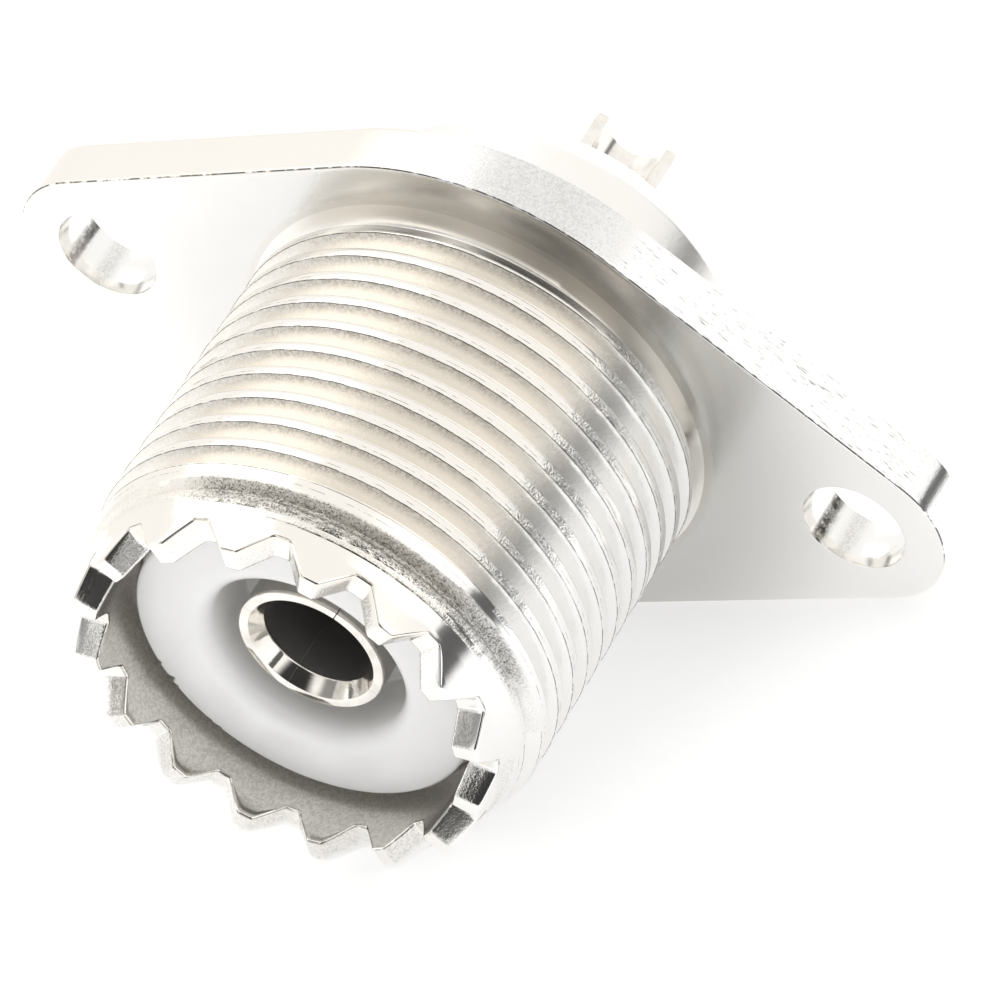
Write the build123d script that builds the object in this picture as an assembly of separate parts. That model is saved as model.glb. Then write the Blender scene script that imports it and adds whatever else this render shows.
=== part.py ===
from build123d import *
import math
import os

# A panel-mount coaxial antenna socket: a one-piece plated shell with a two-hole flange, a white insulator
# pressed into it, and a slotted centre contact whose tail ends in a solder cup.
# The origin is the centre of the flange's rear face, which seats on the panel. +Z runs out through the mating
# end and +X runs through the two mounting holes. All sizes are in millimetres.

# Flange
hole_spacing = 26.2
hole_diameter = 3.5
flange_width = 19.05
flange_end_radius = 3.1
flange_thickness = 1.85
flange_edge_bevel = 0.15

# Threaded barrel, plain here at the thread's major diameter, and its toothed rim
thread_diameter = 15.7
thread_end_height = 13.1
barrel_foot_bevel = 0.3
rim_diameter = 14.2
rim_root_diameter = 14.35
rim_height = 16.05
shell_bore_diameter = 12.4

# Teeth of the rim, whose flanks all point at the axis
tooth_count = 16
tooth_depth = 0.94
tooth_land = 0.52
gap_floor = 0.52
tooth_edge_bevel = 0.1

# Boss behind the flange, and the shoulder inside that the insulator seats on
boss_diameter = 13.6
boss_length = 3.25
boss_edge_bevel = 0.2
shoulder_height = 1.0
rear_hole_diameter = 9.04

# Insulator
insulator_clearance = 0.02
insulator_front_height = 14.1
insulator_land_diameter = 11.6
insulator_land_length = 1.2
insulator_edge_bevel = 0.12
insulator_tail_length = 5.45
recess_diameter = 6.8
recess_depth = 2.5
recess_lip_bevel = 0.2

# Centre contact
contact_clearance = 0.02
contact_diameter = 5.0
contact_front_height = 13.53
contact_seat_height = 1.5
contact_lip_diameter = 4.3
pin_bore_diameter = 3.7
pin_bore_depth = 11.0
countersink_depth = 0.55
drill_point_angle = 118.0
contact_edge_bevel = 0.06
slot_count = 4
slot_width = 0.2
slot_length = 8.0
slot_turn = 67.5

# Solder cup on the contact's tail
tail_diameter = 2.9
tail_length = 10.15
cup_bore_diameter = 2.1
cup_bore_depth = 4.5
cup_open_length = 3.0
cup_turn = 75.0
cup_edge_bevel = 0.15

# Extra length that cutting solids run past the faces they cut
overcut = 0.5


def turned(points):
    """A solid turned about Z from radius and height pairs."""
    outline = Polyline([(radius, 0, height) for radius, height in points], close=True)
    return revolve(make_face(outline), Axis.Z)


def rod(diameter, low, high):
    """A cylinder on Z between two heights."""
    return Pos(0, 0, (low + high) / 2) * Cylinder(diameter / 2, high - low)


def flange_plate():
    """The rhombic plate: one wide round in the middle and one small round about each hole, joined by tangents."""
    middle = flange_width / 2
    reach = hole_spacing / 2
    lean = math.asin((middle - flange_end_radius) / reach)
    normal_x = math.sin(lean)
    normal_y = math.cos(lean)
    wide_x, wide_y = middle * normal_x, middle * normal_y
    end_x, end_y = reach + flange_end_radius * normal_x, flange_end_radius * normal_y
    tip_x = reach + flange_end_radius
    outline = [
        ThreePointArc((-wide_x, wide_y), (0, middle), (wide_x, wide_y)),
        Line((wide_x, wide_y), (end_x, end_y)),
        ThreePointArc((end_x, end_y), (tip_x, 0), (end_x, -end_y)),
        Line((end_x, -end_y), (wide_x, -wide_y)),
        ThreePointArc((wide_x, -wide_y), (0, -middle), (-wide_x, -wide_y)),
        Line((-wide_x, -wide_y), (-end_x, -end_y)),
        ThreePointArc((-end_x, -end_y), (-tip_x, 0), (-end_x, end_y)),
        Line((-end_x, end_y), (-wide_x, wide_y)),
    ]
    plate = extrude(make_face(Wire(outline)), flange_thickness, dir=(0, 0, 1))
    edges = plate.edges().group_by(Axis.Z)
    return chamfer(edges[0] + edges[-1], flange_edge_bevel)


def gap_section(radius):
    """The outline of one gap between teeth, at a radius, wider further out so that its flanks are radial."""
    mean_radius = (rim_diameter + shell_bore_diameter) / 4
    pitch = 2 * math.pi * mean_radius / tooth_count
    root = rim_height - tooth_depth
    floor_half = gap_floor / 2
    mouth_half = (pitch - tooth_land) / 2
    rise = overcut * (mouth_half - floor_half) / tooth_depth
    spread = radius / mean_radius
    corners = [
        (radius, -floor_half * spread, root),
        (radius, floor_half * spread, root),
        (radius, (mouth_half + rise) * spread, rim_height + overcut),
        (radius, -(mouth_half + rise) * spread, rim_height + overcut),
    ]
    return make_face(Polyline(corners, close=True))


def rim_gaps():
    """All gaps of the toothed rim. One of them is centred on the line through the mounting holes."""
    inner = gap_section(shell_bore_diameter / 2 - overcut)
    outer = gap_section(rim_root_diameter / 2 + overcut)
    gap = loft([inner, outer], ruled=True)
    return [Rot(0, 0, 360 / tooth_count * place) * gap for place in range(tooth_count)]


def make_shell():
    """The cast and turned shell: flange, threaded barrel with its toothed rim, and rear boss in one piece."""
    root_height = rim_height - tooth_depth
    barrel = turned([
        (0, 0),
        (thread_diameter / 2 + barrel_foot_bevel, 0),
        (thread_diameter / 2 + barrel_foot_bevel, flange_thickness),
        (thread_diameter / 2, flange_thickness + barrel_foot_bevel),
        (thread_diameter / 2, thread_end_height),
        (rim_root_diameter / 2, root_height),
        (rim_diameter / 2, rim_height),
        (0, rim_height),
    ])
    boss = rod(boss_diameter, -boss_length, flange_thickness / 2)
    boss = chamfer(boss.edges().group_by(Axis.Z)[0], boss_edge_bevel)
    shell = flange_plate() + boss + barrel
    shell -= rod(shell_bore_diameter, shoulder_height, rim_height + overcut)
    shell -= rod(rear_hole_diameter, -boss_length - overcut, shoulder_height + overcut)
    for side in (-1, 1):
        hole = rod(hole_diameter, -overcut, flange_thickness + overcut)
        shell -= Pos(side * hole_spacing / 2, 0, 0) * hole
    for gap in rim_gaps():
        shell -= gap
    tips = [
        edge for edge in shell.edges()
        if edge.geom_type != GeomType.CIRCLE and abs(edge.center().Z - rim_height) < 0.01
    ]
    return chamfer(tips, tooth_edge_bevel)


def make_insulator():
    """The white insulator: a stepped bush with a round recess in front and a short tail behind the boss."""
    body = shell_bore_diameter / 2 - insulator_clearance
    tail = rear_hole_diameter / 2 - insulator_clearance
    land = insulator_land_diameter / 2
    land_foot = insulator_front_height - insulator_land_length
    bush = turned([
        (0, -insulator_tail_length),
        (tail, -insulator_tail_length),
        (tail, shoulder_height),
        (body, shoulder_height),
        (body, land_foot),
        (land, land_foot),
        (land, insulator_front_height),
        (0, insulator_front_height),
    ])
    ends = bush.edges().group_by(Axis.Z)
    bush = chamfer(ends[0] + ends[-1], insulator_edge_bevel)
    recess_floor = insulator_front_height - recess_depth
    bush -= rod(recess_diameter, recess_floor, insulator_front_height + overcut)
    lip = bush.edges().group_by(Axis.Z)[-1].sort_by(SortBy.RADIUS)[0]
    bush = chamfer(lip, recess_lip_bevel)
    bush -= rod(contact_diameter + 2 * contact_clearance, contact_seat_height, recess_floor + overcut)
    bush -= rod(tail_diameter + 2 * contact_clearance, -insulator_tail_length - overcut, contact_seat_height + overcut)
    return bush


def contact_slots(front):
    """The saw cuts that divide the front of the contact into springy tines."""
    low = front - slot_length
    slot = Pos(contact_diameter / 2, 0, (low + front + overcut) / 2) * Box(
        contact_diameter, slot_width, front + overcut - low)
    return [Rot(0, 0, slot_turn + 360 / slot_count * place) * slot for place in range(slot_count)]


def make_contact():
    """The turned centre contact: slotted socket in front, shoulder, and a tail with an open solder cup."""
    front = contact_front_height
    socket = rod(contact_diameter, contact_seat_height, front)
    socket = chamfer(socket.edges().group_by(Axis.Z)[-1], contact_edge_bevel)
    tail = rod(tail_diameter, -tail_length, contact_seat_height)
    tail = chamfer(tail.edges().group_by(Axis.Z)[0], cup_edge_bevel)
    contact = socket + tail
    bore_radius = pin_bore_diameter / 2
    bore_floor = front - pin_bore_depth
    point_depth = bore_radius / math.tan(math.radians(drill_point_angle / 2))
    contact -= turned([
        (0, bore_floor - point_depth),
        (bore_radius, bore_floor),
        (bore_radius, front - countersink_depth),
        (contact_lip_diameter / 2, front),
        (contact_lip_diameter / 2, front + overcut),
        (0, front + overcut),
    ])
    for slot in contact_slots(front):
        contact -= slot
    contact -= rod(cup_bore_diameter, -tail_length - overcut, cup_bore_depth - tail_length)
    open_height = cup_open_length + overcut
    opening = Pos(0, tail_diameter, -tail_length + (cup_open_length - overcut) / 2) * Box(
        2 * tail_diameter, 2 * tail_diameter, open_height)
    contact -= Rot(0, 0, cup_turn - 90) * opening
    return contact


os.makedirs("parts", exist_ok=True)
pieces = {
    "shell": make_shell(),
    "insulator": make_insulator(),
    "centre_contact": make_contact(),
}
for name, piece in pieces.items():
    export_step(piece, os.path.join("parts", name + ".step"))
    print(name, round(piece.volume, 2))
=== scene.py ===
import bmesh
import bpy
import math
from mathutils import Matrix, Vector
from mathutils.geometry import tessellate_polygon


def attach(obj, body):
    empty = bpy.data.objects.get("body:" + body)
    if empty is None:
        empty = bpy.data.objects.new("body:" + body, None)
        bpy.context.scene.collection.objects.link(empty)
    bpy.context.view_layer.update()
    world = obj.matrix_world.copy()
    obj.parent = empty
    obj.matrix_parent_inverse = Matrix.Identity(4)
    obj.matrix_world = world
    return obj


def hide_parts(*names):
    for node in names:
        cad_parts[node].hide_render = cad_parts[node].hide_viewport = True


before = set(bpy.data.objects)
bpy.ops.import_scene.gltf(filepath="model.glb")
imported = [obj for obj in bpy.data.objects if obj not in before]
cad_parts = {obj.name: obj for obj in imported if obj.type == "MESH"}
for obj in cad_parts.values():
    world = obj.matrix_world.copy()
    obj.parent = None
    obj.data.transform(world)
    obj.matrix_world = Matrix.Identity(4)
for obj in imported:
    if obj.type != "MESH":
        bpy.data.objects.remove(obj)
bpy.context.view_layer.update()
mm = 0.001


# small helpers for node trees and meshes

def addNode(tree, kind, inputs=None, **settings):
    node = tree.nodes.new(kind)
    for key, value in settings.items():
        setattr(node, key, value)
    for key, value in (inputs or {}).items():
        if isinstance(value, bpy.types.NodeSocket):
            tree.links.new(value, node.inputs[key])
        else:
            node.inputs[key].default_value = value
    return node


def mathOf(tree, operation, *values, clamp=False):
    return addNode(tree, "ShaderNodeMath", dict(enumerate(values)), operation=operation, use_clamp=clamp).outputs[0]


def product(tree, first, *others):
    for other in others:
        first = mathOf(tree, "MULTIPLY", first, other)
    return first


def remap(tree, value, low, high, newLow=0.0, newHigh=1.0):
    return addNode(tree, "ShaderNodeMapRange", {"Value": value, "From Min": low, "From Max": high, "To Min": newLow,
                                                "To Max": newHigh}, interpolation_type="SMOOTHSTEP").outputs[0]


def radiusOf(tree, parts):
    squares = [mathOf(tree, "MULTIPLY", parts.outputs[axis], parts.outputs[axis]) for axis in "XY"]
    return mathOf(tree, "SQRT", mathOf(tree, "ADD", *squares))


def mixed(tree, factor, first, second):
    # between two colours, each a value or a socket
    node = addNode(tree, "ShaderNodeMix", {"Factor": factor, 6: first, 7: second}, data_type="RGBA")
    return node.outputs[2]


def newMaterial(name):
    material = bpy.data.materials.new(name)
    material.use_nodes = True
    tree = material.node_tree
    return material, tree, tree.nodes["Principled BSDF"]


def addBump(tree, shader, height):
    bump = addNode(tree, "ShaderNodeBump", {"Height": height, "Distance": mm, "Strength": 1.0})
    tree.links.new(bump.outputs[0], shader.inputs["Normal"])


def linkedObject(name, data):
    thing = bpy.data.objects.new(name, data)
    bpy.context.scene.collection.objects.link(thing)
    return thing


def meshObject(name, vertices, faces):
    mesh = bpy.data.meshes.new(name)
    mesh.from_pydata(vertices, [], faces)
    mesh.update()
    return linkedObject(name, mesh)


def solidObject(name, body):
    mesh = bpy.data.meshes.new(name)
    body.to_mesh(mesh)
    body.free()
    return linkedObject(name, mesh)


def addRing(body, radius, height, angles):
    return [body.verts.new((radius * mm * math.cos(a), radius * mm * math.sin(a), height * mm)) for a in angles]


def addBand(body, lower, upper):
    # faces between two rings that run the same way round, where a ring of one point is a pole
    count = max(len(lower), len(upper))
    for k in range(count):
        n = (k + 1) % count
        corners = lower[k % len(lower)], lower[n % len(lower)], upper[n % len(upper)], upper[k % len(upper)]
        body.faces.new(list(dict.fromkeys(corners)))


def bakeModifiers(thing):
    depsgraph = bpy.context.evaluated_depsgraph_get()
    made = bpy.data.meshes.new_from_object(thing.evaluated_get(depsgraph))
    thing.modifiers.clear()
    thing.data = made


def geometryTree(name, inputNames):
    tree = bpy.data.node_groups.new(name, "GeometryNodeTree")
    tree.is_modifier = True
    tree.interface.new_socket(name="Geometry", in_out="INPUT", socket_type="NodeSocketGeometry")
    for inputName in inputNames:
        tree.interface.new_socket(name=inputName, in_out="INPUT", socket_type="NodeSocketFloat")
    tree.interface.new_socket(name="Geometry", in_out="OUTPUT", socket_type="NodeSocketGeometry")
    return tree, tree.nodes.new("NodeGroupInput"), tree.nodes.new("NodeGroupOutput")


def attributeOf(tree, name):
    return addNode(tree, "GeometryNodeInputNamedAttribute", {"Name": name}, data_type="FLOAT").outputs["Attribute"]


def finishTree(tree, geometry, output, material):
    realized = addNode(tree, "GeometryNodeRealizeInstances", {"Geometry": geometry})
    painted = addNode(tree, "GeometryNodeSetMaterial", {"Geometry": realized.outputs[0], "Material": material})
    tree.links.new(painted.outputs[0], output.inputs[0])


def wrapRound(tree, geometry, output, angle, radius, height, material):
    # puts each point of a strip where its angle, radius and height say, and closes the seam
    x = mathOf(tree, "MULTIPLY", radius, mathOf(tree, "COSINE", angle))
    y = mathOf(tree, "MULTIPLY", radius, mathOf(tree, "SINE", angle))
    spot = addNode(tree, "ShaderNodeCombineXYZ", {"X": x, "Y": y, "Z": height})
    moved = addNode(tree, "GeometryNodeSetPosition", {"Geometry": geometry, "Position": spot.outputs[0]})
    merged = addNode(tree, "GeometryNodeMergeByDistance", {"Geometry": moved.outputs[0], "Distance": 0.000001})
    finishTree(tree, merged.outputs[0], output, material)


def runTree(thing, tree, values):
    # the modifier's values go in by socket identifier, then the result becomes a plain mesh
    modifier = thing.modifiers.new(tree.name, "NODES")
    modifier.node_group = tree
    for socket in tree.interface.items_tree:
        if socket.in_out == "INPUT" and socket.name in values:
            modifier[socket.identifier] = values[socket.name]
    bakeModifiers(thing)
    return thing


def lathe(profile, angles):
    # a closed run of rings about Z, from (radius, height) pairs in millimetres
    count = len(angles)
    vertices = [(r * mm * math.cos(a), r * mm * math.sin(a), z * mm) for r, z in profile for a in angles]
    faces = []
    for ring in range(len(profile)):
        nextRing = (ring + 1) % len(profile)
        for column in range(count):
            beside = (column + 1) % count
            faces.append((ring * count + column, ring * count + beside,
                          nextRing * count + beside, nextRing * count + column))
    return vertices, faces


def evenAngles(count, start=0.0):
    return [start + 2 * math.pi * step / count for step in range(count)]


def arcPoints(centreR, centreZ, radius, fromDeg, toDeg, steps):
    points = []
    for step in range(steps + 1):
        a = math.radians(fromDeg + (toDeg - fromDeg) * step / steps)
        points.append((centreR + radius * math.cos(a), centreZ + radius * math.sin(a)))
    return points


def shadeByAngle(thing, degrees):
    for polygon in thing.data.polygons:
        polygon.use_smooth = True
    thing.data.set_sharp_from_angle(angle=math.radians(degrees))


# the camera stands where the photograph was taken from

viewSizes = {
    "lens": 335.9,
    "place": (84.82, 225.29, 171.70),
    "right": (0.9000, -0.0068, -0.4359),
    "down": (0.3328, -0.6352, 0.6969),
    "forward": (-0.2817, -0.7723, -0.5694),
}

cameraData = bpy.data.cameras.new("camera")
cameraData.sensor_width = 36
cameraData.lens = viewSizes["lens"]
cameraData.clip_start = 0.01
cameraData.clip_end = 10
camera = linkedObject("camera", cameraData)
camX = Vector(viewSizes["right"])
camY = -Vector(viewSizes["down"])
camZ = -Vector(viewSizes["forward"])
turn = Matrix((camX, camY, camZ)).transposed().to_4x4()
camera.matrix_world = Matrix.Translation(Vector(viewSizes["place"]) * mm) @ turn
bpy.context.scene.camera = camera

shellSizes = {
    "holeSpacing": 26.2,
    "holeRadius": 1.75,
    "flangeWaist": 9.525,
    "flangeEnd": 3.095,
    "flangeThickness": 1.85,
    "flangeEdge": 0.07,
    "bossRadius": 6.8,
    "bossLength": 3.25,
    "crestRadius": 7.85,
    "pitch": 1.0583,
    "grooveDepth": 0.56,
    "crestEnd": 0.32,       # from the crest's middle, 1 is the root's middle
    "rootStart": 0.88,
    "neck": 0.10,
    "filletWidth": 1.0,     # the soft concave foot between the flange and the neck
    "filletHeight": 0.34,
    "firstCrest": 2.50,
    "taperStart": 13.05,
    "taperSlope": 0.3415,
    "threadEnd": 14.9,
    "rootHeight": 15.11,
    "tipHeight": 16.04,
    "rimOuter": 7.1,
    "rimInner": 6.21,
    "teeth": 16,
    "boreRadius": 6.2,
    "rearBore": 4.52,
    "shoulder": 1.0,
}

# the socket lies on one straight side of its flange and on the last crests of its thread
lean = math.asin((shellSizes["flangeWaist"] - shellSizes["flangeEnd"]) / (shellSizes["holeSpacing"] / 2))
sideways = Vector((math.sin(lean), -math.cos(lean), 0))
runBack = shellSizes["flangeWaist"] - shellSizes["crestRadius"]
runUp = shellSizes["taperStart"] - shellSizes["flangeThickness"]
floorUp = -(sideways * runUp + Vector((0, 0, runBack))).normalized()
floorPoint = (sideways * shellSizes["flangeWaist"] + Vector((0, 0, shellSizes["flangeThickness"]))) * mm
print("stage: camera and resting plane", [round(c, 4) for c in floorUp])


floorSizes = {
    "halfWidth": 1.5,
    "paperEnds": 0.023,     # how far the paper goes towards the front right before a dark strip of table starts
    "tableEnds": 0.130,
    "paperEdge": 0.009,
    "glow": 0.56,
    "paperColour": (0.62, 0.62, 0.62, 1),
    "tableColour": (0.11, 0.11, 0.11, 1),
    "towardsTable": (0.88, -0.47),      # image right and away from the camera
}


def paperMaterial(towardsTable):
    # white paper on a light table, seen only from above so that it never hides the socket from below
    material, tree, shader = newMaterial("paperWhite")
    shader.inputs["Base Color"].default_value = floorSizes["paperColour"]
    shader.inputs["Roughness"].default_value = 0.7
    shader.inputs["Specular IOR Level"].default_value = 0.1
    shader.inputs["Emission Color"].default_value = (1, 1, 1, 1)
    shader.inputs["Emission Strength"].default_value = floorSizes["glow"]
    place = addNode(tree, "ShaderNodeNewGeometry")
    reach = addNode(tree, "ShaderNodeVectorMath", {0: place.outputs["Position"], 1: tuple(towardsTable)},
                    operation="DOT_PRODUCT").outputs["Value"]
    paper, table, soft = (floorSizes[name] for name in ("paperEnds", "tableEnds", "paperEdge"))
    # the table only shows as a reflection in the metal
    mirrored = addNode(tree, "ShaderNodeLightPath").outputs["Is Glossy Ray"]
    beyond = product(tree, remap(tree, reach, paper, paper + soft),
                     remap(tree, reach, table, table + 3 * soft, 1.0, 0.0), mirrored)
    wood = addNode(tree, "ShaderNodeBsdfDiffuse", {"Color": floorSizes["tableColour"]})
    ground = addNode(tree, "ShaderNodeMixShader", {"Fac": beyond, 1: shader.outputs[0], 2: wood.outputs[0]})
    clear = addNode(tree, "ShaderNodeBsdfTransparent")
    both = addNode(tree, "ShaderNodeMixShader", {"Fac": place.outputs["Backfacing"], 1: ground.outputs[0],
                                                 2: clear.outputs[0]})
    tree.links.new(both.outputs[0], tree.nodes["Material Output"].inputs["Surface"])
    return material


screenRight = (camX - floorUp * camX.dot(floorUp)).normalized()
awayFromCamera = floorUp.cross(screenRight)
if awayFromCamera.dot(camZ) > 0:
    awayFromCamera = -awayFromCamera
half = floorSizes["halfWidth"]
across = floorUp.orthogonal().normalized()
along = floorUp.cross(across)
corners = [floorPoint + across * (i * half) + along * (j * half) for i, j in ((-1, -1), (1, -1), (1, 1), (-1, 1))]
floor = meshObject("floor", corners, [(0, 1, 2, 3)])
if floor.data.polygons[0].normal.dot(floorUp) < 0:
    floor.data.flip_normals()
rightShare, awayShare = floorSizes["towardsTable"]
floor.data.materials.append(paperMaterial((screenRight * rightShare + awayFromCamera * awayShare).normalized()))

lightSizes = {
    # name: direction to the light in image right, floor up and away from camera, distance, side, power, colour
    "top": ((-0.25, 1.0, 0.25), 0.45, 0.42, 0.30, (1.0, 0.99, 0.98)),
    "left": ((-1.0, 0.75, -0.1), 0.50, 0.30, 0.12, (1.0, 0.99, 0.97)),
    "back": ((0.35, 0.55, 1.0), 0.55, 0.34, 0.15, (1.0, 1.0, 1.0)),
}
middle = Vector((0, 0, 5)) * mm
for name, (direction, distance, side, power, colour) in lightSizes.items():
    aim = (screenRight * direction[0] + floorUp * direction[1] + awayFromCamera * direction[2]).normalized()
    lamp = bpy.data.lights.new(name, "AREA")
    lamp.shape = "SQUARE"
    lamp.size = side
    lamp.energy = power
    lamp.color = colour
    turned = aim.to_track_quat("Z", "Y").to_matrix().to_4x4()
    linkedObject(name, lamp).matrix_world = Matrix.Translation(middle + aim * distance) @ turned

roomSizes = {
    "level": 1.06,
    # direction and edges of each round: azimuth, elevation, inner and outer angle, what it adds or takes
    "darkBehind": (180, 22, 19, 31, -1.02),
    "gapLeft": (-115, 45, 14, 26, -0.7),
    "glowRight": (128, 20, 10, 30, 0.4),
}
world = bpy.data.worlds.new("studio")
bpy.context.scene.world = world
world.use_nodes = True
sky = world.node_tree
background = sky.nodes["Background"]
direction = addNode(sky, "ShaderNodeTexCoord")


def addRound(name, level):
    # changes the level towards one direction; azimuth 0 is away from the camera
    azimuth, elevation, inner, outer, change = roomSizes[name]
    side, lift = math.radians(azimuth), math.radians(elevation)
    aim = (awayFromCamera * math.cos(side) + screenRight * math.sin(side)) * math.cos(lift) + floorUp * math.sin(lift)
    near = addNode(sky, "ShaderNodeVectorMath", {0: direction.outputs["Generated"], 1: tuple(aim)},
                   operation="DOT_PRODUCT").outputs["Value"]
    inside = remap(sky, near, math.cos(math.radians(outer)), math.cos(math.radians(inner)))
    return mathOf(sky, "MULTIPLY_ADD", inside, change, level)


# the room behind the camera is dark, a dimmer gap lies between the lamps on its left, and low on the right it glows
glow = addRound("glowRight", addRound("darkBehind", roomSizes["level"]))
sky.links.new(product(sky, glow, addRound("gapLeft", 1.0)), background.inputs["Strength"])
background.inputs["Color"].default_value = (1.0, 0.995, 0.985, 1)
bpy.context.scene.view_settings.view_transform = "Standard"
print("stage: floor, lights and world")


def grainOf(tree, coordinates, size, detail=3.0, roughness=0.6):
    # noise whose lumps are about this many millimetres wide
    node = addNode(tree, "ShaderNodeTexNoise", {"Vector": coordinates, "Scale": 1.0 / (size * mm),
                                                "Detail": detail, "Roughness": roughness})
    return node.outputs["Fac"]


def nickelMaterial():
    finish = {
        "cream": (0.90, 0.862, 0.80, 1),
        "plain": (0.915, 0.912, 0.90, 1),
        "ground": (0.97, 0.968, 0.96, 1),
        # worn dark metal and the painted shade and reflections mix to this colour
        "wearAndShade": (0.30, 0.285, 0.255, 1),
        "dark": (0.085, 0.08, 0.072, 1),
        "smoothRoughness": 0.12,
        "grainyRoughness": 0.30,
        "grainSize": 0.16,
        "speckSize": 0.075,
        "chunkSize": 0.30,
        "blotchSize": 1.6,
        "breakSize": 0.42,
        "grainHeight": 0.006,
        "leastHeight": 0.0006,
        "speckHeight": 0.045,
        "chunkHeight": 0.05,
        "scratchWidth": 0.045,
        "scratchLength": 0.5,
        "faceShadeReach": (8.4, 14.0),
        "faceShade": 0.46,
        "tornReflectionShade": 0.75,
        "tornFrom": (math.radians(38), math.radians(70)),
        "tornTo": (math.radians(115), math.radians(155)),
        "burrWidth": 0.016,
        "seamPlace": 0.03,
        "seamWidth": 0.012,
        "wander": 0.05,
    }
    s = shellSizes
    material, tree, shader = newMaterial("satinNickel")
    place = addNode(tree, "ShaderNodeTexCoord").outputs["Object"]
    grain = grainOf(tree, place, finish["grainSize"])
    speck = grainOf(tree, place, finish["speckSize"], 2.0)
    chunk = grainOf(tree, place, finish["chunkSize"], 3.0)
    blotch = grainOf(tree, place, finish["blotchSize"], 4.0)
    breaks = grainOf(tree, place, finish["breakSize"], 5.0, 0.65)
    mask = {name: addNode(tree, "ShaderNodeAttribute", attribute_name=name).outputs["Fac"]
            for name in ("grainy", "coarse", "edge", "scratched", "plain", "wearAndShade", "threaded")}

    # share of a turn from the middle of the nearest crest, and the angle round the axis
    parts = addNode(tree, "ShaderNodeSeparateXYZ", {0: place})
    angle = mathOf(tree, "ARCTAN2", parts.outputs["Y"], parts.outputs["X"])
    rise = mathOf(tree, "SUBTRACT", parts.outputs["Z"], s["firstCrest"] * mm)
    share = mathOf(tree, "DIVIDE", rise, s["pitch"] * mm)
    share = mathOf(tree, "SUBTRACT", share, mathOf(tree, "DIVIDE", angle, 2 * math.pi))
    share = mathOf(tree, "ADD", share, product(tree, mathOf(tree, "SUBTRACT", breaks, 0.5), finish["wander"]))
    share = mathOf(tree, "WRAP", share, 0.5, -0.5)
    crestEnd = s["crestEnd"] / 2

    def hairline(value, at, width):
        off = mathOf(tree, "ABSOLUTE", mathOf(tree, "SUBTRACT", value, at))
        return remap(tree, off, width * 0.35, width, 1.0, 0.0)

    burr = hairline(mathOf(tree, "ABSOLUTE", share), crestEnd, finish["burrWidth"])
    burr = product(tree, burr, remap(tree, breaks, 0.40, 0.56, 0.25, 0.95))
    seam = product(tree, hairline(share, finish["seamPlace"], finish["seamWidth"]),
                   remap(tree, breaks, 0.48, 0.58, 0.0, 0.8))
    threadLine = product(tree, mathOf(tree, "MAXIMUM", burr, seam), mask["threaded"])

    # the flank is torn and rough beside the crest on the upper side of the barrel, and painted darker there as a
    # reflection
    torn = product(tree, remap(tree, share, crestEnd + 0.2, crestEnd), mask["threaded"],
                   remap(tree, share, crestEnd - 0.015, crestEnd + 0.01), remap(tree, angle, *finish["tornFrom"]),
                   remap(tree, angle, *finish["tornTo"], 1.0, 0.15))
    wornAndShaded = mathOf(tree, "MAXIMUM", product(tree, torn, finish["tornReflectionShade"]), mask["wearAndShade"])
    mottle = mathOf(tree, "ADD", product(tree, speck, 0.6), product(tree, grain, 0.4))
    wornAndShaded = product(tree, wornAndShaded, remap(tree, mottle, 0.40, 0.60, 0.45, 1.0))

    # painted reflection of the barrel and its shadow: the right wing's face darkens towards the barrel
    radius = radiusOf(tree, parts)
    face = mathOf(tree, "COMPARE", parts.outputs["Z"], s["flangeThickness"] * mm, 0.02 * mm)
    reach = [edge * mm for edge in finish["faceShadeReach"]]
    near = product(tree, face, remap(tree, radius, *reach, finish["faceShade"], 0.0),
                   remap(tree, parts.outputs["X"], 1.0 * mm, 5.0 * mm, 0.5, 1.0))
    wornAndShaded = mathOf(tree, "MAXIMUM", wornAndShaded, near)

    tone = product(tree, mask["plain"], remap(tree, blotch, 0.35, 0.65, 0.8, 1.0))
    colour = mixed(tree, tone, finish["cream"], finish["plain"])
    colour = mixed(tree, mask["scratched"], colour, finish["ground"])
    # wear, painted shade and painted reflections darken the colour here
    colour = mixed(tree, wornAndShaded, colour, finish["wearAndShade"])

    # dark lines where the plating broke along an edge, painted dark reflection streaks down the holes' walls, dark
    # pits in torn metal, and long scratches
    line = product(tree, mask["edge"], remap(tree, breaks, 0.38, 0.52))
    line = mathOf(tree, "MAXIMUM", line, threadLine)
    pits = product(tree, mask["coarse"], remap(tree, speck, 0.54, 0.64, 0.0, 0.55))
    along = addNode(tree, "ShaderNodeMapping", {"Vector": place, "Rotation": (0, 0, -lean),
                                                "Scale": (finish["scratchLength"] / finish["scratchWidth"], 1, 1)},
                    vector_type="TEXTURE")
    scratch = grainOf(tree, along.outputs[0], finish["scratchWidth"], 2.0, 0.7)
    scratch = product(tree, mask["scratched"], remap(tree, scratch, 0.645, 0.70, 0.0, 0.75))
    worn = mathOf(tree, "MAXIMUM", mathOf(tree, "MAXIMUM", line, pits), scratch, clamp=True)
    tree.links.new(mixed(tree, worn, colour, finish["dark"]), shader.inputs["Base Color"])

    rough = mathOf(tree, "MULTIPLY_ADD", mask["grainy"], finish["grainyRoughness"] - finish["smoothRoughness"],
                   finish["smoothRoughness"])
    rough = mathOf(tree, "ADD", rough, product(tree, mathOf(tree, "SUBTRACT", blotch, 0.5), 0.05))
    tree.links.new(mathOf(tree, "MULTIPLY_ADD", wornAndShaded, 0.15, rough), shader.inputs["Roughness"])
    shader.inputs["Metallic"].default_value = 1.0

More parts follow.
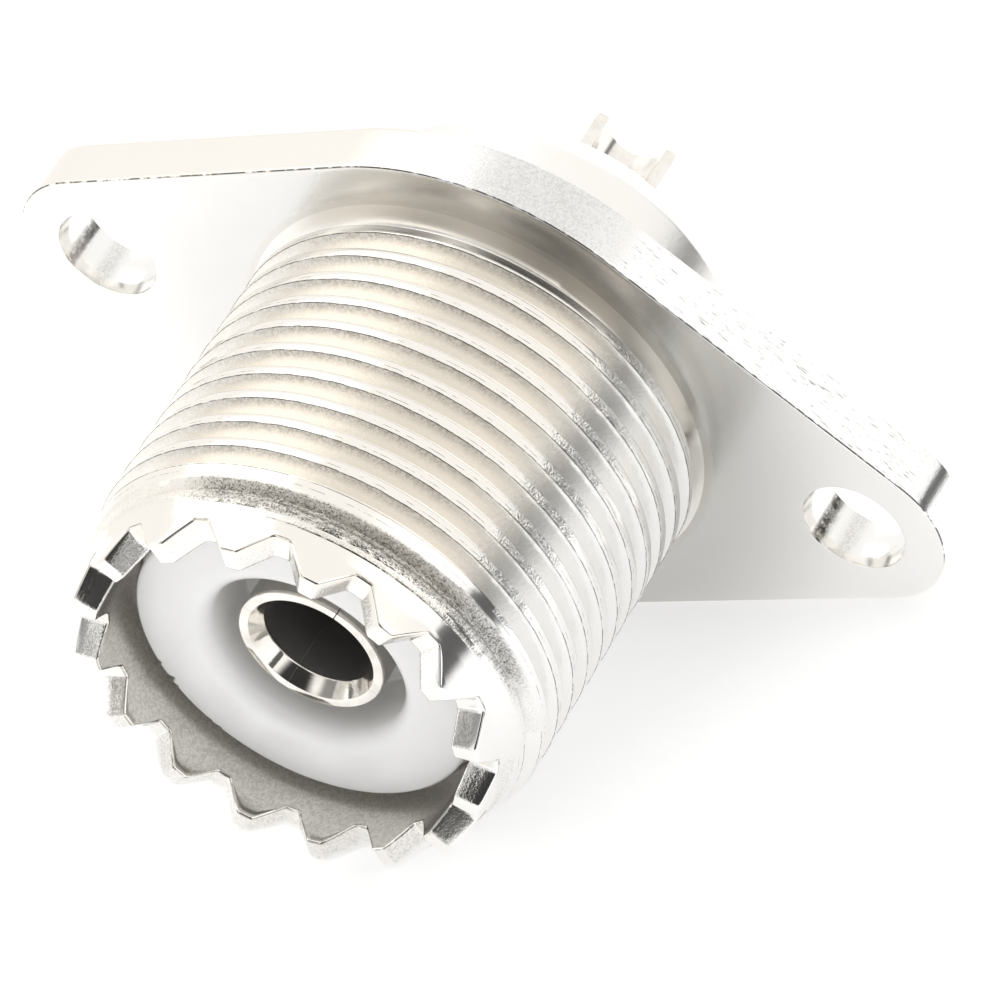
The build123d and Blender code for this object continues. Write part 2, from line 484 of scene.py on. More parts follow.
    rugged = mathOf(tree, "MAXIMUM", mask["coarse"], product(tree, torn, 0.3))
    relief = product(tree, grain, mathOf(tree, "MULTIPLY_ADD", mask["grainy"], finish["grainHeight"],
                                         finish["leastHeight"]))
    lumps = mathOf(tree, "ADD", product(tree, speck, finish["speckHeight"]),
                   product(tree, chunk, finish["chunkHeight"]))
    addBump(tree, shader, mathOf(tree, "MULTIPLY_ADD", lumps, rugged, relief))
    return material


def polishedMaterial():
    finish = {
        "light": (0.90, 0.87, 0.82, 1),
        "worn": (0.74, 0.70, 0.64, 1),
        "roughness": 0.07,
        "blotchSize": 0.9,
        "turningSize": 0.05,
        "turningHeight": 0.0012,
        "drilledAndShaded": (0.34, 0.335, 0.325, 1),
        "boreReach": 1.88,
        "boreTop": 12.94,
        "sideReach": 2.46,
        "sideTop": 13.40,
        "sideShare": 0.6,
    }
    material, tree, shader = newMaterial("polishedNickel")
    place = addNode(tree, "ShaderNodeTexCoord").outputs["Object"]
    blotch = grainOf(tree, place, finish["blotchSize"], 4.0)
    colour = mixed(tree, remap(tree, blotch, 0.4, 0.8), finish["light"], finish["worn"])
    # the bore is as drilled and rougher than the outside, and painted darker there as shade
    parts = addNode(tree, "ShaderNodeSeparateXYZ", {0: place})
    radius = radiusOf(tree, parts)
    inside = product(tree, mathOf(tree, "LESS_THAN", radius, finish["boreReach"] * mm),
                     mathOf(tree, "LESS_THAN", parts.outputs["Z"], finish["boreTop"] * mm))
    # and the side of the tines down in the recess is painted darker as shade too
    side = product(tree, mathOf(tree, "GREATER_THAN", radius, finish["sideReach"] * mm),
                   mathOf(tree, "LESS_THAN", parts.outputs["Z"], finish["sideTop"] * mm), finish["sideShare"])
    front = mathOf(tree, "GREATER_THAN", parts.outputs["Z"], 0.0)
    inside = product(tree, mathOf(tree, "MAXIMUM", inside, side), front)
    tree.links.new(mixed(tree, inside, colour, finish["drilledAndShaded"]), shader.inputs["Base Color"])
    shader.inputs["Metallic"].default_value = 1.0
    rough = mathOf(tree, "MULTIPLY_ADD", blotch, 0.1, finish["roughness"] - 0.04)
    behind = mathOf(tree, "LESS_THAN", parts.outputs["Z"], 0.0)
    rough = mathOf(tree, "MULTIPLY_ADD", behind, 0.14, rough)
    tree.links.new(mathOf(tree, "MULTIPLY_ADD", inside, 0.4, rough), shader.inputs["Roughness"])
    # turning marks run round the axis, so the noise is squeezed into fine layers of height
    squeeze = addNode(tree, "ShaderNodeMapping", {"Vector": place, "Scale": (0.08, 0.08, 1.0)})
    marks = grainOf(tree, squeeze.outputs[0], finish["turningSize"], 2.0)
    addBump(tree, shader, product(tree, marks, finish["turningHeight"]))
    return material


def insulatorMaterial():
    finish = {
        "white": (0.935, 0.935, 0.93, 1),
        "milky": (0.91, 0.91, 0.905, 1),
        "gapShade": (0.62, 0.57, 0.49, 1),
        "gapShadeTop": 13.50,
        "gapShadeFull": 13.15,
        "gapShadeReach": 3.8,
        "gapShadeShare": 0.12,
        "roughness": 0.2,
        "cloudSize": 3.0,
        "orangePeelSize": 0.7,
        "orangePeelHeight": 0.002,
    }
    material, tree, shader = newMaterial("whiteResin")
    place = addNode(tree, "ShaderNodeTexCoord").outputs["Object"]
    cloud = grainOf(tree, place, finish["cloudSize"], 3.0)
    colour = mixed(tree, remap(tree, cloud, 0.35, 0.7), finish["white"], finish["milky"])
    # painted shade: the narrow gap round the contact is darker deeper down
    parts = addNode(tree, "ShaderNodeSeparateXYZ", {0: place})
    radius = radiusOf(tree, parts)
    deep = product(tree, remap(tree, parts.outputs["Z"], finish["gapShadeFull"] * mm, finish["gapShadeTop"] * mm,
                               finish["gapShadeShare"], 0.0),
                   mathOf(tree, "LESS_THAN", radius, finish["gapShadeReach"] * mm),
                   mathOf(tree, "GREATER_THAN", parts.outputs["Z"], 0.0))
    tree.links.new(mixed(tree, deep, colour, finish["gapShade"]), shader.inputs["Base Color"])
    tree.links.new(mathOf(tree, "MULTIPLY_ADD", cloud, 0.12, finish["roughness"] - 0.06), shader.inputs["Roughness"])
    shader.inputs["Subsurface Weight"].default_value = 0.6
    shader.inputs["Subsurface Radius"].default_value = (1.0, 1.0, 1.0)
    shader.inputs["Subsurface Scale"].default_value = 0.0012
    peel = grainOf(tree, place, finish["orangePeelSize"], 2.0)
    addBump(tree, shader, product(tree, peel, finish["orangePeelHeight"]))
    return material


satinNickel = nickelMaterial()
polishedNickel = polishedMaterial()
whiteResin = insulatorMaterial()
print("materials made")


# the thread and the toothed rim come from node trees, the flange and the boss from rings of points

def columnAngles():
    # columns crowd at the corners of the teeth, so that each corner stays crisp
    halfPitch = (0.0, 0.05, 0.08, 0.1, 0.12, 0.155, 0.21, 0.27, 0.33, 0.37, 0.395, 0.42, 0.455, 0.5)
    shares = list(halfPitch) + [1 - share for share in reversed(halfPitch[1:-1])]
    pitch = 2 * math.pi / shellSizes["teeth"]
    teeth = range(shellSizes["teeth"])
    return [(tooth + 0.5 + share) % shellSizes["teeth"] * pitch for tooth in teeth for share in shares]


angles = sorted(columnAngles())


def stripObject(name, rows):
    # an unrolled wall: x is the angle, y and z are whatever the tree reads
    columns = angles + [2 * math.pi]
    vertices = [(a, y, z) for y, z in rows for a in columns]
    count = len(columns)
    starts = [row * count + column for row in range(len(rows) - 1) for column in range(count - 1)]
    return meshObject(name, vertices, [(k, k + 1, k + count + 1, k + count) for k in starts])


def threadTree():
    names = ["Crest radius", "Pitch", "Groove depth", "First crest", "Low end", "High end", "Taper start",
             "Taper slope", "Crest end", "Root start", "Neck"]
    tree, given, result = geometryTree("wrapThread", names)
    value = given.outputs
    place = addNode(tree, "GeometryNodeInputPosition")
    parts = addNode(tree, "ShaderNodeSeparateXYZ", {0: place.outputs[0]})
    angle = parts.outputs["X"]
    share = mathOf(tree, "DIVIDE", angle, 2 * math.pi)
    climb = product(tree, mathOf(tree, "SUBTRACT", share, 1.0), value["Pitch"])
    height = mathOf(tree, "ADD", parts.outputs["Y"], climb)
    # rows stop dead at both ends, and none lies within a hair of them
    hair = 0.012 * mm
    over = mathOf(tree, "SUBTRACT", height, value["Low end"])
    over = product(tree, over, mathOf(tree, "GREATER_THAN", over, hair))
    under = mathOf(tree, "SUBTRACT", value["High end"], mathOf(tree, "ADD", value["Low end"], over))
    under = product(tree, under, mathOf(tree, "GREATER_THAN", under, hair))
    height = mathOf(tree, "SUBTRACT", value["High end"], under)
    # share of a turn from the nearest crest, 0 on the crest and 1 in the root
    level = mathOf(tree, "DIVIDE", mathOf(tree, "SUBTRACT", height, value["First crest"]), value["Pitch"])
    turns = mathOf(tree, "SUBTRACT", level, share)
    wave = product(tree, mathOf(tree, "PINGPONG", turns, 0.5), 2.0)
    span = mathOf(tree, "SUBTRACT", value["Root start"], value["Crest end"])
    sink = mathOf(tree, "DIVIDE", mathOf(tree, "SUBTRACT", wave, value["Crest end"]), span)
    sink = mathOf(tree, "SMOOTH_MAX", sink, 0.0, 0.05)
    sink = mathOf(tree, "SMOOTH_MIN", sink, 1.0, 0.2)
    # the last groove runs out into a plain neck at the flange
    neck = remap(tree, mathOf(tree, "SUBTRACT", height, value["Low end"]), value["Neck"],
                 product(tree, value["Neck"], 2.2), 1.0, 0.0)
    sink = mathOf(tree, "MAXIMUM", sink, neck)
    groove = product(tree, sink, value["Groove depth"])
    threadRadius = mathOf(tree, "SUBTRACT", value["Crest radius"], groove)
    past = mathOf(tree, "SUBTRACT", height, value["Taper start"])
    taperRadius = mathOf(tree, "SUBTRACT", value["Crest radius"], product(tree, past, value["Taper slope"]))
    radius = mathOf(tree, "MINIMUM", threadRadius, taperRadius)
    wrapRound(tree, value["Geometry"], result, angle, radius, height, satinNickel)
    return tree


def makeThread():
    s = shellSizes
    half = s["crestEnd"] / 2
    rising = (half - 0.025, half, half + 0.025, 0.26, 0.36, 0.44)
    phases = (0.0,) + rising + (0.5,) + tuple(1 - phase for phase in reversed(rising))
    firstTurn = math.floor((s["flangeThickness"] - s["firstCrest"]) / s["pitch"]) - 1
    rows = []
    turnNumber = firstTurn
    while not rows or rows[-1] < s["threadEnd"] + s["pitch"]:
        for phase in phases:
            rows.append(s["firstCrest"] + (turnNumber + phase) * s["pitch"])
        turnNumber += 1
    strip = stripObject("threadStrip", [(row * mm, 0.0) for row in rows])
    lowEnd = s["flangeThickness"] + s["filletHeight"]
    return runTree(strip, threadTree(), {
        "Crest radius": s["crestRadius"] * mm, "Pitch": s["pitch"] * mm, "Groove depth": s["grooveDepth"] * mm,
        "First crest": s["firstCrest"] * mm, "Low end": lowEnd * mm, "High end": s["threadEnd"] * mm,
        "Taper start": s["taperStart"] * mm, "Taper slope": s["taperSlope"], "Crest end": s["crestEnd"],
        "Root start": s["rootStart"], "Neck": s["neck"] * mm})


def rimTree():
    names = ["Teeth", "Base height", "Root height", "Tip height", "Tip share", "Root share", "Wall from",
             "Wall slope"]
    tree, given, result = geometryTree("cutTeeth", names)
    value = given.outputs
    place = addNode(tree, "GeometryNodeInputPosition")
    parts = addNode(tree, "ShaderNodeSeparateXYZ", {0: place.outputs[0]})
    angle, radius, drop = parts.outputs["X"], parts.outputs["Y"], parts.outputs["Z"]
    turns = product(tree, mathOf(tree, "DIVIDE", angle, 2 * math.pi), value["Teeth"])
    # 0 in the middle of a gap and 1 in the middle of a tooth
    wave = product(tree, mathOf(tree, "PINGPONG", turns, 0.5), 2.0)
    low = mathOf(tree, "SUBTRACT", wave, value["Root share"])
    span = mathOf(tree, "SUBTRACT", mathOf(tree, "SUBTRACT", 1.0, value["Tip share"]), value["Root share"])
    rise = mathOf(tree, "DIVIDE", low, span)
    rise = mathOf(tree, "SMOOTH_MAX", rise, 0.0, 0.06)
    rise = mathOf(tree, "SMOOTH_MIN", rise, 1.0, 0.12)
    depth = mathOf(tree, "SUBTRACT", value["Tip height"], value["Root height"])
    top = mathOf(tree, "MULTIPLY_ADD", rise, depth, value["Root height"])
    full = mathOf(tree, "SUBTRACT", top, value["Base height"])
    share = attributeOf(tree, "share")
    height = mathOf(tree, "ADD", mathOf(tree, "MULTIPLY_ADD", full, share, value["Base height"]), drop)
    # the outer wall is one cone, whatever the height of its top
    widen = product(tree, mathOf(tree, "SUBTRACT", value["Tip height"], height), value["Wall slope"],
                    mathOf(tree, "GREATER_THAN", radius, value["Wall from"]))
    radius = mathOf(tree, "ADD", radius, widen)
    wrapRound(tree, value["Geometry"], result, angle, radius, height, satinNickel)
    return tree


def makeRim():
    s = shellSizes
    taperEnd = s["crestRadius"] - (s["threadEnd"] - s["taperStart"]) * s["taperSlope"]
    outer, inner = s["rimOuter"], s["rimInner"]
    # radius, share of the way up to the rim's edge, and drop below it
    corner = ((0.0, -0.1), (0.015, -0.045), (0.05, -0.012), (0.1, 0.0), (0.3, 0.0))
    rows = [(outer, share, 0.0) for share in (0.0, 0.25, 0.5, 0.75)]
    rows += [(outer - inset, 1.0, drop) for inset, drop in corner] + [((outer + inner) / 2, 1.0, 0.0)]
    rows += [(inner + inset, 1.0, drop) for inset, drop in reversed(corner)]
    rows += [(inner, share, 0.0) for share in (0.7, 0.35, 0.0)]
    strip = stripObject("rimStrip", [(radius * mm, drop * mm) for radius, _, drop in rows])
    attribute = strip.data.attributes.new("share", "FLOAT", "POINT")
    columns = len(angles) + 1
    for index in range(len(rows) * columns):
        attribute.data[index].value = rows[index // columns][1]
    return runTree(strip, rimTree(), {
        "Teeth": float(s["teeth"]), "Base height": s["threadEnd"] * mm, "Root height": s["rootHeight"] * mm,
        "Tip height": s["tipHeight"] * mm, "Tip share": 0.2, "Root share": 0.2, "Wall from": (outer - 0.15) * mm,
        "Wall slope": (taperEnd - outer) / (s["tipHeight"] - s["threadEnd"])})


def outlinePoints(inset):
    # the flange's outline, moved in by this much, with the same number of points at every inset
    s = shellSizes
    reach = s["holeSpacing"] / 2
    wide, end = s["flangeWaist"] - inset, s["flangeEnd"] - inset
    tilt = math.degrees(lean)
    arcs = [(reach, end, -(90 - tilt), 90 - tilt, 42), (0, wide, 90 - tilt, 90 + tilt, 60),
            (-reach, end, 90 + tilt, 270 - tilt, 42), (0, wide, 270 - tilt, 270 + tilt, 60)]
    straightSteps = 72
    points = []
    for place, (centre, radius, low, high, steps) in enumerate(arcs):
        arc = arcPoints(centre, 0, radius, low, high, steps)
        nextCentre, nextRadius, nextLow = arcs[(place + 1) % 4][:3]
        start, goal = arc[-1], arcPoints(nextCentre, 0, nextRadius, nextLow, nextLow, 1)[0]
        run = [tuple(a + (b - a) * k / straightSteps for a, b in zip(start, goal)) for k in range(1, straightSteps)]
        points += arc + run
    return points


def makeShell():
    s = shellSizes
    shell = bmesh.new()
    for thing in (makeThread(), makeRim()):
        shell.from_mesh(thing.data)
        bpy.data.objects.remove(thing)
    bmesh.ops.remove_doubles(shell, verts=shell.verts, dist=0.0000015)
    thickness, edge = s["flangeThickness"], s["flangeEdge"]

    def ring(points, height):
        return [shell.verts.new((x * mm, y * mm, height * mm)) for x, y in points]

    def circle(radius, count, centre):
        return [(centre + radius * math.cos(a), radius * math.sin(a)) for a in evenAngles(count)]

    # side wall of the flange with rounded edges, from the rear face round to the front face
    eighths = [k * math.pi / 8 for k in range(5)]
    quarter = [(edge * (1 - math.cos(a)), edge * (1 - math.sin(a))) for a in eighths]
    section = [(edge + 0.12, 0.0)] + [(inset, rise) for inset, rise in reversed(quarter)]
    section += [(0.0, thickness * share) for share in (0.1, 0.3, 0.5, 0.7)] + [(0.0, thickness - 0.17)]
    section += [(inset, thickness - rise) for inset, rise in quarter] + [(edge + 0.12, thickness)]
    loops = [ring(outlinePoints(inset), height) for inset, height in section]
    for lower, upper in zip(loops, loops[1:]):
        addBand(shell, lower, upper)
    rearLoops, frontLoops = [loops[0]], [loops[-1]]

    # mounting holes, whose walls face the holes' middles
    soft = 0.035
    holeSteps = 96
    for centre in (-s["holeSpacing"] / 2, s["holeSpacing"] / 2):
        radius = s["holeRadius"]
        lip = [(radius + soft + 0.1, 0.0), (radius + soft, 0.0), (radius + 0.3 * soft, 0.3 * soft), (radius, soft)]
        wall = lip + [(radius, thickness * 0.5)] + [(reach, thickness - height) for reach, height in reversed(lip)]
        holeLoops = [ring(circle(r, holeSteps, centre), height) for r, height in wall]
        for lower, upper in zip(holeLoops, holeLoops[1:]):
            addBand(shell, upper, lower)
        rearLoops.append(holeLoops[0])
        frontLoops.append(holeLoops[-1])

    def findRing(radiusLow, radiusHigh, height):
        found = [v for v in shell.verts if abs(v.co.z - height * mm) < 0.000002
                 and radiusLow * mm < math.hypot(v.co.x, v.co.y) < radiusHigh * mm]
        return sorted(found, key=lambda v: math.atan2(v.co.y, v.co.x) % (2 * math.pi))

    foot = findRing(7.0, 7.9, thickness + s["filletHeight"])
    print("shell: thread foot", len(foot), "of", len(angles))
    neck = s["crestRadius"] - s["grooveDepth"]
    for turn in [k * math.pi / 16 for k in range(1, 9)]:
        reach = neck + s["filletWidth"] * (1 - math.cos(turn))
        height = thickness + s["filletHeight"] * (1 - math.sin(turn))
        outer = addRing(shell, reach, height, angles)
        addBand(shell, outer, foot)
        foot = outer
    frontLoops.append(foot)

    # bore, shoulder, rear hole and boss
    bore = findRing(s["rimInner"] - 0.005, s["rimInner"] + 0.005, s["threadEnd"])
    print("shell: rim's inner ring", len(bore))
    step = s["bossRadius"]
    rear, rearBore, soft = -s["bossLength"], s["rearBore"], 0.2
    inside = [(s["boreRadius"], height) for height in (14.6, 8.0, s["shoulder"])]
    inside += [(rearBore, s["shoulder"]), (rearBore, rear + 0.06), (rearBore + 0.06, rear), (rearBore + 0.2, rear),
               (step - 0.32, rear)]
    inside += arcPoints(step - soft, rear + soft, soft, -90, 0, 4)
    inside += [(step, -0.1), (step, 0.0), (step + 0.15, 0.0)]
    last = bore
    for radius, height in inside:
        loop = addRing(shell, radius, height, angles)
        addBand(shell, last, loop)
        last = loop
    rearLoops.append(last)

    def fillFace(edgeLoops, upwards):
        flat = [[Vector((v.co.x, v.co.y, 0)) * 1000 for v in loop] for loop in edgeLoops]
        everyVertex = [v for loop in edgeLoops for v in loop]
        for a, b, c in tessellate_polygon(flat):
            corners = [everyVertex[a], everyVertex[b], everyVertex[c]]
            normal = (corners[1].co - corners[0].co).cross(corners[2].co - corners[0].co)
            if (normal.z > 0) != upwards:
                corners.reverse()
            shell.faces.new(corners)

    fillFace(frontLoops, True)
    fillFace(rearLoops, False)
    bmesh.ops.remove_doubles(shell, verts=shell.verts, dist=0.000001)
    bmesh.ops.recalc_face_normals(shell, faces=shell.faces)
    openEdges = sum(1 for e in shell.edges if len(e.link_faces) != 2)
    print("shell: vertices", len(shell.verts), "faces", len(shell.faces), "open edges", openEdges)
    return solidObject("socketShell", shell)


def smoothStep(low, high, value):
    share = min(max((value - low) / (high - low), 0.0), 1.0)
    return share * share * (3 - 2 * share)


# where the wear, the painted shade and the painted reflections lie: from, to and how softly each ends
wearAndShadeReach = {
    # degrees round the axis
    "creamSide": (45, 170, 12),
    "chippedCrests": (28, 50, 5),
    "tornGroove": (18, 118, 8),
    "tornLip": (35, 95, 10),
    "brokenGroove": (15, 75, 8),
    "shadedTops": (205, 300, 10),
    "brokenOutside": (25, 165, 8),
    "brokenInside": (185, 330, 8),
    # turns up the thread
    "groove": (10.22, 10.88, 0.06),
    "grooveEdge": (10.93, 10.97, 0.02),
    "lip": (11.04, 11.16, 0.04),
    # millimetres along the flange's side wall
    "greyWaist": (-2.5, 4.7, 0.5),
    "dullWaist": (-0.5, 4.2, 1.2),
    # degrees round each hole
    "rightReflectionStreak": (217, 231, 3),
    "leftReflectionStreak": (210, 223, 3),
    "greyReflectionBand": (246, 262, 6),
}


def within(name, value):
    low, high, soft = wearAndShadeReach[name]
    return smoothStep(low - soft, low + soft, value) * (1 - smoothStep(high - soft, high + soft, value))


# some flanks of the teeth are darker than the others: tooth, side, how dark
dullFlanks = {(0, 1): 0.5, (9, -1): 0.75, (13, 1): 0.3, (14, 1): 0.85, (15, 1): 0.2}


def markFinish(thing):
    # grainy is blasted, coarse is torn metal, edge is a line of broken plating and down the holes a painted
    # reflection streak, scratched is the side wall, plain has no cream tint, wearAndShade is worn dark metal together
    # with painted shade and reflections, and threaded is the thread's own surface
    s = shellSizes
    mesh = thing.data
    names = ("grainy", "coarse", "edge", "scratched", "plain", "wearAndShade", "threaded")
    for name in names:
        mesh.attributes.new(name, "FLOAT", "POINT")
    marks = [mesh.attributes[name] for name in names]
    top, end = s["flangeThickness"], s["holeSpacing"] / 2
    threadStart = top + s["filletHeight"] + 0.03
    crestEnd = s["crestEnd"] / 2
    pitchAngle = 360 / s["teeth"]
    for vertex in mesh.vertices:
        x, y, z = (c / mm for c in vertex.co)
        radius = math.hypot(x, y)
        degrees = math.degrees(math.atan2(y, x))
        around, turns = degrees % 360, degrees / 360
        grainy = coarse = edge = scratched = plain = wearAndShade = threaded = 0.0
        if z > threadStart and radius > 7.0:
            share = (z - s["firstCrest"]) / s["pitch"] - turns
            share = abs(share - round(share))
            level = (z - s["firstCrest"]) / s["pitch"] - turns % 1.0
            threaded = 1.0 - smoothStep(10.0, 10.15, level)
            onCrest = 1.0 - smoothStep(crestEnd - 0.02, crestEnd + 0.03, share)
            grainy = (1.0 - smoothStep(10.9, 11.1, level)) * (1.0 - 0.95 * onCrest) * 0.8
            plain = 1.0 - within("creamSide", around)
            # the crests are chipped on one side of the barrel
            coarse = 0.35 * onCrest * threaded * within("chippedCrests", around)
            if z < threadStart + 0.4:
                grainy = 0.8
            if z > s["taperStart"]:
                # the last groove runs over the taper and is torn all along
                coarse = within("groove", level) * (0.15 + 0.85 * within("tornGroove", around))
                coarse = max(coarse, within("lip", level) * 0.6 * within("tornLip", around))
                wearAndShade = 0.6 * coarse
                edge = 0.8 * within("grooveEdge", level) * within("brokenGroove", around)
        elif z > s["rootHeight"] - 0.2 and s["rimInner"] + 0.03 < radius < s["rimOuter"] - 0.01:
            place = around / pitchAngle
            tooth, across = int(place), place % 1.0 - 0.5
            plain = 0.6
            # painted shade: the rim's tops are darker round the side that lies towards the floor
            wearAndShade = 0.3 * within("shadedTops", around)
            if 0.09 < abs(across) < 0.41:
                coarse, grainy = 0.18, 0.3
                if s["rimInner"] + 0.06 < radius < s["rimOuter"] - 0.06:
                    wearAndShade = dullFlanks.get((tooth, 1 if across > 0 else -1), wearAndShade)
            if radius > s["rimOuter"] - 0.06:
                edge = 0.8 * within("brokenOutside", around)
            if radius < s["rimInner"] + 0.06:
                edge = 0.6 * within("brokenInside", around)
        elif z > 14.0 and radius < s["rimInner"] + 0.01:
            # painted shade on the inner wall, darkest down by the insulator
            plain = 0.4
            wearAndShade = 0.58 - 0.08 * smoothStep(14.6, 15.2, z)
        elif z < -0.05 and radius > 6.5:
            grainy, plain = 1.0, 0.6
        if 0.001 < z < top - 0.001 and radius > 7.86 and math.hypot(abs(x) - end, y) > s["holeRadius"] + 0.15:
            # the flange's side wall: smooth on the left, grey and grainy round the waist, scratched on the right
            upperSide = smoothStep(-0.5, 0.5, y)
            right = smoothStep(4.4, 5.2, x) * upperSide
            waist = within("greyWaist", x) * upperSide
            grainy = 0.15 + 0.5 * waist
            scratched = right
            plain = max(right, waist)
            coarse = 0.10 * waist + 0.03 * right
            wearAndShade = 0.35 * within("dullWaist", x) * upperSide
            if top - 0.06 < z < top - 0.01:
                edge = 0.95 * upperSide
        elif (abs(z - top) < 0.001 or abs(z) < 0.001) and radius > 7.9:
            grainy = 0.4
            plain = 1.0
        elif 0.0 < z < top and radius > 10:
            # the holes' walls, each with a painted dark reflection streak down one side and a painted grey reflection
            # band
            grainy, plain = 0.2, 0.8
            turned = math.degrees(math.atan2(y, x - math.copysign(end, x))) % 360
            wearAndShade = within("rightReflectionStreak", turned) if x > 0 else 0.6 * within("leftReflectionStreak", turned)
            edge = wearAndShade
            wearAndShade = max(wearAndShade, 0.35 * within("greyReflectionBand", turned))
        elif top < z <= threadStart and radius > 7.2:
            grainy, plain = 1.0, 0.5
        for mark, number in zip(marks, (grainy, coarse, edge, scratched, plain, wearAndShade, threaded)):
            mark.data[vertex.index].value = number


def wearTree():
    tree, given, result = geometryTree("castWear", ["Chip size", "Chip depth", "Seed"])
    value = given.outputs
    place = addNode(tree, "GeometryNodeInputPosition").outputs[0]
    normal = addNode(tree, "GeometryNodeInputNormal").outputs[0]
    coarse = attributeOf(tree, "coarse")
    chip = addNode(tree, "ShaderNodeTexNoise", {"Vector": place, "W": value["Seed"], "Detail": 2.0,
                                                "Scale": mathOf(tree, "DIVIDE", 1.0, value["Chip size"])},
                   noise_dimensions="4D").outputs["Fac"]
    # chips only take metal away
    deep = product(tree, remap(tree, chip, 0.45, 0.7), coarse, value["Chip depth"], -1.0)
    offset = addNode(tree, "ShaderNodeVectorMath", {0: normal, "Scale": deep}, operation="SCALE")
    moved = addNode(tree, "GeometryNodeSetPosition", {"Geometry": value["Geometry"], "Offset": offset.outputs[0]})
    finishTree(tree, moved.outputs[0], result, satinNickel)
    return tree


shell = makeShell()
markFinish(shell)
runTree(shell, wearTree(), {"Chip size": 0.3 * mm, "Chip depth": 0.06 * mm, "Seed": 3.0})
shell.data.materials.clear()
shell.data.materials.append(satinNickel)
shadeByAngle(shell, 38)
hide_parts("shell")
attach(shell, "root")
print("shell done", len(shell.data.polygons), "triangles", sum(len(p.vertices) - 2 for p in shell.data.polygons))


insulatorSizes = {
    "bodyRadius": 6.18, "frontHeight": 14.1, "landRadius": 5.8, "landLength": 1.2, "edgeRound": 0.16,
    "shoulder": 1.0, "tailRadius": 4.5, "tailEnd": -5.45, "recessRadius": 3.33, "recessFloor": 11.6,
    "lipRound": 0.62, "barrelHole": 2.52, "seat": 1.5, "tailHole": 1.47, "columns": 384,
    # moulding flash broken out of the front edge: middle in degrees, half width in degrees, depth
    "nicks": ((208.0, 1.1, 0.10), (215.0, 1.6, 0.16), (218.5, 1.0, 0.07), (234.0, 0.8, 0.05), (238.0, 1.0, 0.06)),
}


def makeInsulator():
    s = insulatorSizes
    front, land, lip, edge = s["frontHeight"], s["landRadius"], s["lipRound"], s["edgeRound"]
    body, tail, tailEnd, shoulder = s["bodyRadius"], s["tailRadius"], s["tailEnd"], s["shoulder"]
    recess, recessFloor, landFoot = s["recessRadius"], s["recessFloor"], front - s["landLength"]
    profile = [(s["tailHole"], tailEnd), (s["tailHole"] + 0.1, tailEnd), (tail - 0.25, tailEnd)]
    profile += arcPoints(tail - 0.12, tailEnd + 0.12, 0.12, -90, 0, 4)
    profile += [(tail, shoulder - 0.02), (tail, shoulder), (body - 0.1, shoulder), (body, shoulder + 0.1),
                (body, landFoot - 0.08), (body - 0.08, landFoot), (land + 0.12, landFoot), (land, landFoot + 0.1),
                (land, front - edge - 0.2)]
    profile += arcPoints(land - edge, front - edge, edge, 0, 90, 6)
    profile += [(land - edge - 0.15, front), (4.8, front), (recess + lip + 0.18, front)]
    profile += arcPoints(recess + lip, front - lip, lip, 90, 180, 8)
    profile += [(recess - 0.01, front - lip - 0.2), (recess - 0.06, recessFloor + 0.3)]
    profile += arcPoints(recess - 0.26, recessFloor + 0.2, 0.2, 0, -90, 5)
    profile += [(s["barrelHole"] + 0.15, recessFloor), (s["barrelHole"], recessFloor - 0.05),
                (s["barrelHole"], s["seat"]), (s["tailHole"], s["seat"])]
    vertices, faces = lathe(profile, evenAngles(s["columns"]))
    bush = meshObject("insulatorBush", vertices, faces)
    for vertex in bush.data.vertices:
        x, y, z = (c / mm for c in vertex.co)
        radius = math.hypot(x, y)
        if radius > land - 0.2 and z > front - 0.6:
            angle = math.degrees(math.atan2(y, x)) % 360
            for middle, width, depth in s["nicks"]:
                reach = max(0.0, 1.0 - abs(angle - middle) / width)
                shrink = 1.0 - depth * smoothStep(0.0, 0.7, reach) * smoothStep(front - 0.6, front - 0.15, z) / radius
                vertex.co.x *= shrink
                vertex.co.y *= shrink
    return bush


insulator = makeInsulator()
insulator.data.materials.append(whiteResin)
shadeByAngle(insulator, 35)
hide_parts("insulator")
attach(insulator, "root")
print("insulator done", len(insulator.data.polygons))


contactSizes = {
    "radius": 2.5, "front": 13.53, "lipRadius": 2.15, "boreRadius": 1.85, "countersink": 0.55, "boreDepth": 11.0,
    "point": 1.11, "seat": 1.5, "tailRadius": 1.45, "tailEnd": -10.15, "cupRadius": 1.05, "cupDepth": 4.5,
    "cupOpen": 3.0, "cupTurn": 75.0, "slotWidth": 0.2, "slotMouths": (0.035, 0.008, 0.008, 0.008), "slotShut": 8.5,
    "slotLength": 8.0, "slotTurn": 67.5, "columns": 160,
}


def boxObject(name, low, high, turnDegrees):
    turned = Matrix.Rotation(math.radians(turnDegrees), 3, "Z")
    corners = [turned @ (Vector((x, y, z)) * mm) for z in (low[2], high[2]) for y in (low[1], high[1])
               for x in (low[0], high[0])]
    faces = [(0, 2, 3, 1), (4, 5, 7, 6), (0, 1, 5, 4), (2, 6, 7, 3), (0, 4, 6, 2), (1, 3, 7, 5)]
    return meshObject(name, corners, faces)


def cutAway(thing, cutters):
    for cutter in cutters:
        modifier = thing.modifiers.new(cutter.name, "BOOLEAN")
        modifier.operation = "DIFFERENCE"
        modifier.solver = "EXACT"
        modifier.object = cutter
    bakeModifiers(thing)
    for cutter in cutters:
        bpy.data.objects.remove(cutter)


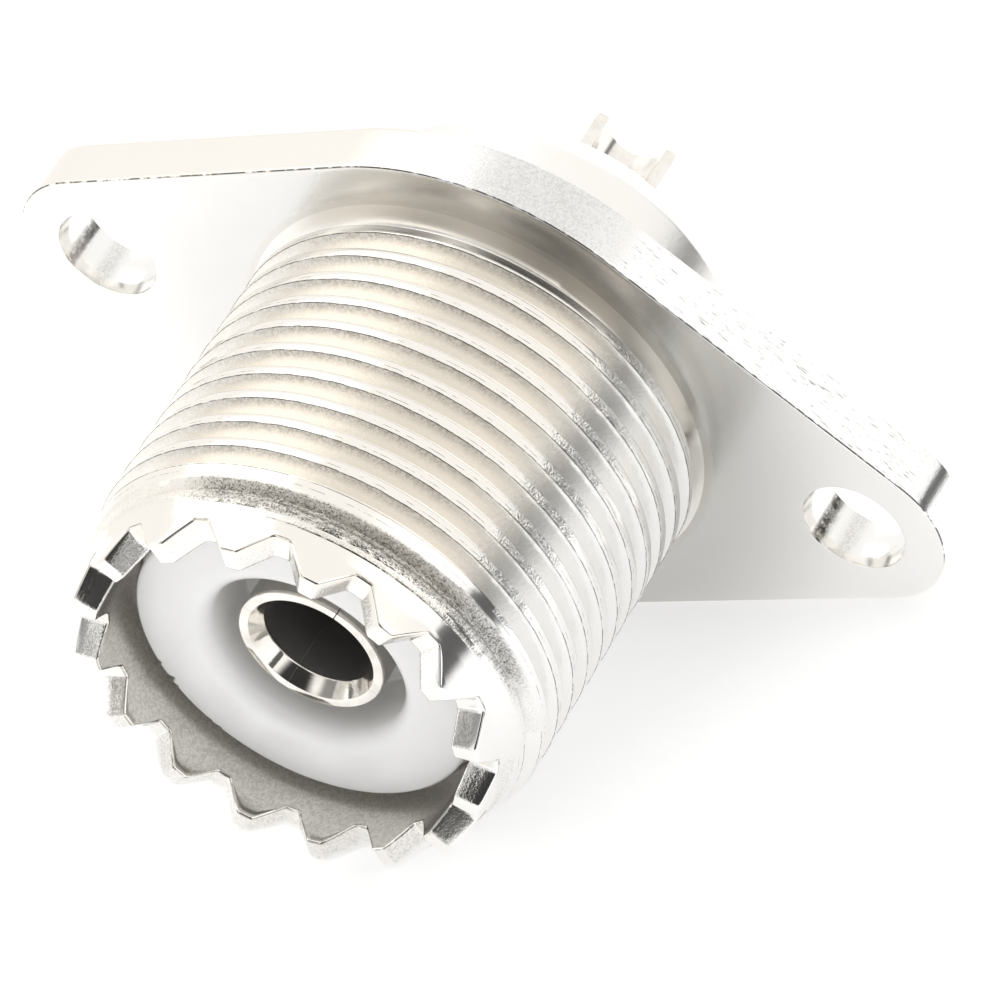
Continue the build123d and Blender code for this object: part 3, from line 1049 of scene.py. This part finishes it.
def makeContact():
    s = contactSizes
    front, bore, cup, tail, wide = (s[name] for name in ("front", "boreRadius", "cupRadius", "tailRadius", "radius"))
    tailEnd, seat, soft = s["tailEnd"], s["seat"], 0.05
    floorHeight, cupTop, sinkEnd = front - s["boreDepth"], tailEnd + s["cupDepth"], front - s["countersink"]
    profile = [(0.0, cupTop), (cup - 0.1, cupTop), (cup, cupTop - 0.1), (cup, tailEnd + soft), (cup + 0.04, tailEnd),
               (tail - 0.18, tailEnd)]
    profile += arcPoints(tail - 0.14, tailEnd + 0.14, 0.14, -90, 0, 4)
    profile += [(tail, seat - 0.02), (tail, seat), (wide - soft, seat), (wide, seat + soft), (wide, front - 0.15)]
    profile += arcPoints(wide - soft, front - soft, soft, 0, 90, 4)
    profile += [(s["lipRadius"] + 0.06, front)]
    profile += arcPoints(s["lipRadius"] + soft, front - soft, soft, 90, 150, 3)
    profile += [(bore + 0.03, sinkEnd + 0.04), (bore + 0.008, sinkEnd + 0.01), (bore, sinkEnd - 0.03),
                (bore, floorHeight), (0.0, floorHeight - s["point"])]
    angles = evenAngles(s["columns"], math.radians(s["slotTurn"] + 180.0 / s["columns"]))
    body = bmesh.new()
    # a ring of no radius is one point
    rings = [addRing(body, radius, height, angles if radius else angles[:1]) for radius, height in profile]
    for lower, upper in zip(rings, rings[1:]):
        addBand(body, lower, upper)
    bmesh.ops.recalc_face_normals(body, faces=body.faces)
    thing = solidObject("centreContact", body)
    # the tines are pressed together in front, so the saw cuts are all but shut there
    cutters = []
    for k, mouth in enumerate(s["slotMouths"]):
        for width, low, high in ((s["slotWidth"], front - s["slotLength"], s["slotShut"]),
                                 (mouth, s["slotShut"] - 0.05, front + 0.01)):
            low, high = (0.5, -width / 2, low), (wide + 1, width / 2, high)
            cutters.append(boxObject("slot", low, high, s["slotTurn"] + 90 * k))
    cutters.append(boxObject("opening", (-3, 0, tailEnd - 1), (3, 3, tailEnd + s["cupOpen"]), s["cupTurn"] - 90))
    cutAway(thing, cutters)
    return thing


contact = makeContact()
contact.data.materials.clear()
contact.data.materials.append(polishedNickel)
shadeByAngle(contact, 30)
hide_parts("centre_contact")
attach(contact, "root")
print("contact done", len(contact.data.polygons))
